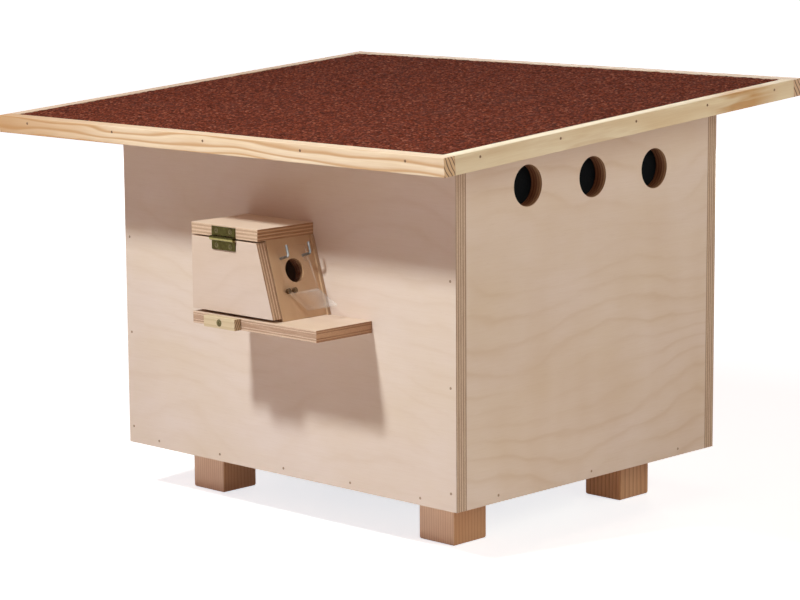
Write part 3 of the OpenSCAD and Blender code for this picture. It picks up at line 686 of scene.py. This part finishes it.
def make_vestibule():
    """The vestibule's boards, its door and the turn button."""
    board("vestibule_roof", X, Y, VESTIBULE_PLY)
    board("vestibule_base", X, Y, BASE_PLY)
    board("vestibule_end", Z, Y, VESTIBULE_PLY)
    board("vestibule_back", X, Z, PANEL_PLY, eased=0.2)
    board("entrance_panel", UP_PANEL, Y, PANEL_PLY)
    board("vestibule_door", X, Z, DOOR_PLY)
    board("turn_button", X, Z, BUTTON_WOOD)


def make_nest():
    """The inner nest box, of thinner plywood."""
    for name, along, across in (("nest_front", X, Z), ("nest_rear", X, Z), ("nest_left", Y, Z),
                                ("nest_right", Y, Z), ("nest_floor", X, Y), ("nest_lid", X, Y)):
        board(name, along, across, NEST_PLY, 0.3)


def add_bar(bm, low, high):
    """A square bar between two corners."""
    low, high = Vector(low), Vector(high)
    place = Matrix.Translation((low + high) / 2) @ Matrix.Diagonal((*(high - low), 1))
    bmesh.ops.create_cube(bm, size=1, matrix=place)


def make_gauze(node):
    """Fine black fly mesh: a layer of upright strands and a layer of level ones."""
    low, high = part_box(node)
    middle = (low.x + high.x) / 2
    bm = bmesh.new()
    y = low.y
    while y + GAUZE_STRAND <= high.y:
        add_bar(bm, (low.x, y, low.z), (middle, y + GAUZE_STRAND, high.z))
        y += GAUZE_PITCH
    z = low.z
    while z + GAUZE_STRAND <= high.z:
        add_bar(bm, (middle, low.y, z), (high.x, high.y, z + GAUZE_STRAND))
        z += GAUZE_PITCH
    put_piece(node.replace("gauze", "mesh"), bm, node, GAUZE)


def make_felt():
    """The felt sheet, its top raised and dented grain by grain between its four straight edges."""
    axes = np.array([X, UP_ROOF, ROOF_NORMAL])
    points = np.array([v.co for v in frame["nodes"]["roof_felt"].data.vertices]) @ axes.T
    low, high = points.min(0), points.max(0)
    across, along = (int(round(n)) + 1 for n in (high - low)[:2] / FELT_GRAIN)
    u, v = np.meshgrid(np.linspace(low[0], high[0], across), np.linspace(low[1], high[1], along))
    dice = np.random.default_rng(FELT_SEED)
    w = high[2] + FELT_PROUD - FELT_DENT * dice.random(u.shape)
    inside = np.zeros(u.shape, bool)
    inside[1:-1, 1:-1] = True
    w[~inside] -= FELT_SKIRT + FELT_PROUD
    for flat in (u, v):
        flat[inside] += dice.uniform(-FELT_SHIFT, FELT_SHIFT, inside.sum()) * FELT_GRAIN
    top = np.stack([u, v, w], -1).reshape(-1, 3)

    # the points round the edge in order, and a copy of them on the sheet's underside
    rows, columns = np.arange(along), np.arange(across)
    ring = np.concatenate([columns, rows[1:] * across + across - 1, (along - 1) * across + columns[-2::-1],
                           rows[-2:0:-1] * across])
    below = top[ring].copy()
    below[:, 2] = low[2]

    # the top's squares, the sides and one face below
    first = len(top)
    count = len(ring)
    here = (rows[:-1, None] * across + columns[None, :-1]).ravel()
    faces = np.stack([here, here + 1, here + across + 1, here + across], -1).tolist()
    faces += [[ring[(i + 1) % count], ring[i], first + i, first + (i + 1) % count] for i in range(count)]
    faces.append([first + i for i in reversed(range(count))])
    mesh = bpy.data.meshes.new("felt_shape")
    corners = (np.vstack([top, below]) @ axes).tolist()
    mesh.from_pydata(corners, [], [[int(n) for n in face] for face in faces])
    bm = bmesh.new()
    bm.from_mesh(mesh)
    bpy.data.meshes.remove(mesh)
    put_piece("roofing_felt", bm, "roof_felt", FELT, 0)


def make_flap():
    """The clear flap. Its lip and its narrow faces carry more painted sheen than its broad flat part."""
    bm = copy_of("entrance_flap")
    ease(bm, 0.15 * MM, 1)
    piece = put_piece("entrance_flap_clear", bm, "entrance_flap", CLEAR, 20)
    broad = [face.area > BROAD_AREA for face in piece.data.polygons]
    lip = [abs(face.normal.z) > LIP_FACING for face in piece.data.polygons]
    # painted sheen, more on the lip and on the narrow faces
    on_broad = np.where(lip, BROAD_LIP_SHEEN, BROAD_SHEEN)
    on_narrow = np.where(lip, NARROW_LIP_SHEEN, NARROW_SHEEN)
    write_attribute(piece.data, "painted_sheen", "FLOAT", "FACE", np.where(broad, on_broad, on_narrow))


def dress_fittings():
    """Nails, screws, hinge, hooks, staples and the entrance tube."""
    dress(["wall_brads", "nest_brads"], BRAD)
    dress(["strip_nails"], STEEL)
    dress(["hinge_roof_leaf", "hinge_door_leaf"], BRASS)
    dress(["hinge_pin"], BRASS_PIN)
    dress(["hinge_roof_screws", "hinge_door_screws", "button_screw"], BRASS_SCREW)
    dress(["flap_stops"], DARK_SCREW)
    dress(["flap_hooks", "gauze_staples"], ZINC)
    dress(["leg_screws", "batten_screws", "vestibule_screws"], YELLOW_ZINC)
    dress(["entrance_tube"], TUBE)


# Studio

FLOOR_HALF = 30
FLOOR_COLOUR = (0.84, 0.80, 0.77)
GLOW_COLOUR = (0.95, 1.0, 1.06)
GLOW_REACH = (0.6, 1.5)
GLOW_LEVEL = (0.70, 1.0)
WORLD_LIGHT = (0.218, 0.105, 0.072)
AIM = (0, 0, 0.2)
CAMERA_PLACE = (1.6005, -1.6525, 0.5525)
CAMERA_TURN = (44.0285, 9.3125, -0.4059)
CAMERA_LENS = 119.537
SENSOR_WIDTH = 36


def make_floor():
    """A pale floor that shows white to the camera and keeps the object's shadow."""
    half = FLOOR_HALF
    mesh = bpy.data.meshes.new("floor")
    mesh.from_pydata([(-half, -half, 0), (half, -half, 0), (half, half, 0), (-half, half, 0)], [],
                     [(0, 1, 2, 3)])
    floor = bpy.data.objects.new("floor", mesh)
    bpy.context.scene.collection.objects.link(floor)
    s = Shader("floor_white")
    diffuse = s.add("ShaderNodeBsdfDiffuse")
    diffuse.inputs["Color"].default_value = (*FLOOR_COLOUR, 1)
    glow = s.add("ShaderNodeEmission")
    glow.inputs["Color"].default_value = (*GLOW_COLOUR, 1)
    path = s.add("ShaderNodeLightPath")
    seen = s.math("MAXIMUM", path.outputs["Is Camera Ray"],
                  s.math("MAXIMUM", path.outputs["Is Glossy Ray"], path.outputs["Is Transmission Ray"]))
    reach = s.add("ShaderNodeVectorMath", operation="LENGTH")
    s.put(reach.inputs[0], s.place())
    level = s.span(reach.outputs["Value"], *GLOW_REACH, *GLOW_LEVEL)
    s.put(glow.inputs["Strength"], s.math("MULTIPLY", seen, level))
    both = s.add("ShaderNodeAddShader")
    s.put(both.inputs[0], diffuse.outputs[0])
    s.put(both.inputs[1], glow.outputs[0])
    s.put(s.output.inputs["Surface"], both.outputs[0])
    mesh.materials.append(s.material)


def make_world():
    """A dim warm world that shows white to the camera and in gloss."""
    world = bpy.data.worlds.new("studio")
    bpy.context.scene.world = world
    world.use_nodes = True
    tree = world.node_tree
    back = tree.nodes["Background"]
    path = tree.nodes.new("ShaderNodeLightPath")
    seen = tree.nodes.new("ShaderNodeMath")
    seen.operation = "MAXIMUM"
    tree.links.new(path.outputs["Is Camera Ray"], seen.inputs[0])
    tree.links.new(path.outputs["Is Glossy Ray"], seen.inputs[1])
    colour = tree.nodes.new("ShaderNodeMix")
    colour.data_type = "RGBA"
    colour.inputs[6].default_value = (*WORLD_LIGHT, 1)
    colour.inputs[7].default_value = (1, 1, 1, 1)
    tree.links.new(seen.outputs[0], colour.inputs[0])
    tree.links.new(colour.outputs[2], back.inputs["Color"])


def lamp(name, place, target, size, power, colour):
    """A round soft lamp that the camera doesn't see."""
    data = bpy.data.lights.new(name, "AREA")
    data.shape = "DISK"
    data.size = size
    data.energy = power
    data.color = colour
    light = bpy.data.objects.new(name, data)
    light.location = place
    light.rotation_mode = "QUATERNION"
    light.rotation_quaternion = (Vector(target) - Vector(place)).to_track_quat("-Z", "Y")
    light.visible_camera = False
    bpy.context.scene.collection.objects.link(light)


def make_lamps():
    """A small key lamp in front for the crisp shadows, and two wide lamps for the other sides."""
    lamp("key", (-0.065, -0.94, 1.125), (0.32, 0, 0.2), size=0.15, power=14.9, colour=(0.89, 1, 1))
    lamp("side", (2.6, 0.6, 1.2), AIM, size=1.6, power=28.5, colour=(0.90, 1, 0.87))
    lamp("rear", (-1.7, 2.3, 0.55), AIM, size=1.2, power=24, colour=(0.95, 1, 0.93))


def make_camera():
    """The photograph's view: a long lens, from the front right and a little above."""
    yaw, pitch, roll = (math.radians(a) for a in CAMERA_TURN)
    forward = Vector((-math.sin(yaw) * math.cos(pitch), math.cos(yaw) * math.cos(pitch), -math.sin(pitch)))
    level = Vector((math.cos(yaw), math.sin(yaw), 0))
    upright = level.cross(forward)
    right = math.cos(roll) * level + math.sin(roll) * upright
    up = math.cos(roll) * upright - math.sin(roll) * level
    data = bpy.data.cameras.new("camera")
    data.lens = CAMERA_LENS
    data.sensor_width = SENSOR_WIDTH
    data.clip_start = 0.05
    camera = bpy.data.objects.new("camera", data)
    turn = Matrix((right, up, -forward)).transposed().to_4x4()
    camera.matrix_world = Matrix.Translation(CAMERA_PLACE) @ turn
    bpy.context.scene.collection.objects.link(camera)
    bpy.context.scene.camera = camera


bpy.context.scene.view_settings.view_transform = "Standard"
make_camera()
make_world()
make_floor()
make_lamps()
make_box()
make_roof()
make_vestibule()
make_nest()
make_flap()
dress_fittings()
